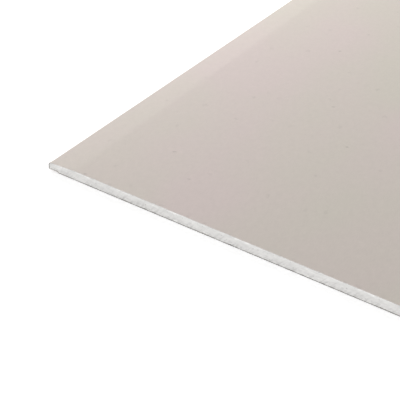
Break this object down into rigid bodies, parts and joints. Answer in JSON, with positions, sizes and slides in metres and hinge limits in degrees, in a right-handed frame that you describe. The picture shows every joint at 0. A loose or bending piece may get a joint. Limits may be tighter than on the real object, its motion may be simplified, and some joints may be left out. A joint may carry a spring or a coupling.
{
  "type": "drywall sheet",
  "caption": "Flat gypsum board sheet with paper-folded tapered long edges and square sawn ends, screwed to framing to line walls and ceilings.",
  "frame": {"origin": "centre of the back face, on the surface that the sheet lies on", "axes": "+X across the sheet, +Y along its tapered long edges, +Z out of the face"},
  "size_m": [1.2, 2.4, 0.0125],
  "materials": {
    "gypsum_core": "matte sawn gypsum, chalky and finely pitted",
    "face_paper": "matte ivory-grey lining paper with faint fibre flecks",
    "back_paper": "matte grey-brown recycled paper"
  },
  "bodies": {
    "root": {"gypsum_core": "gypsum_core", "face_paper": "face_paper", "back_paper": "back_paper"}
  },
  "joints": []
}
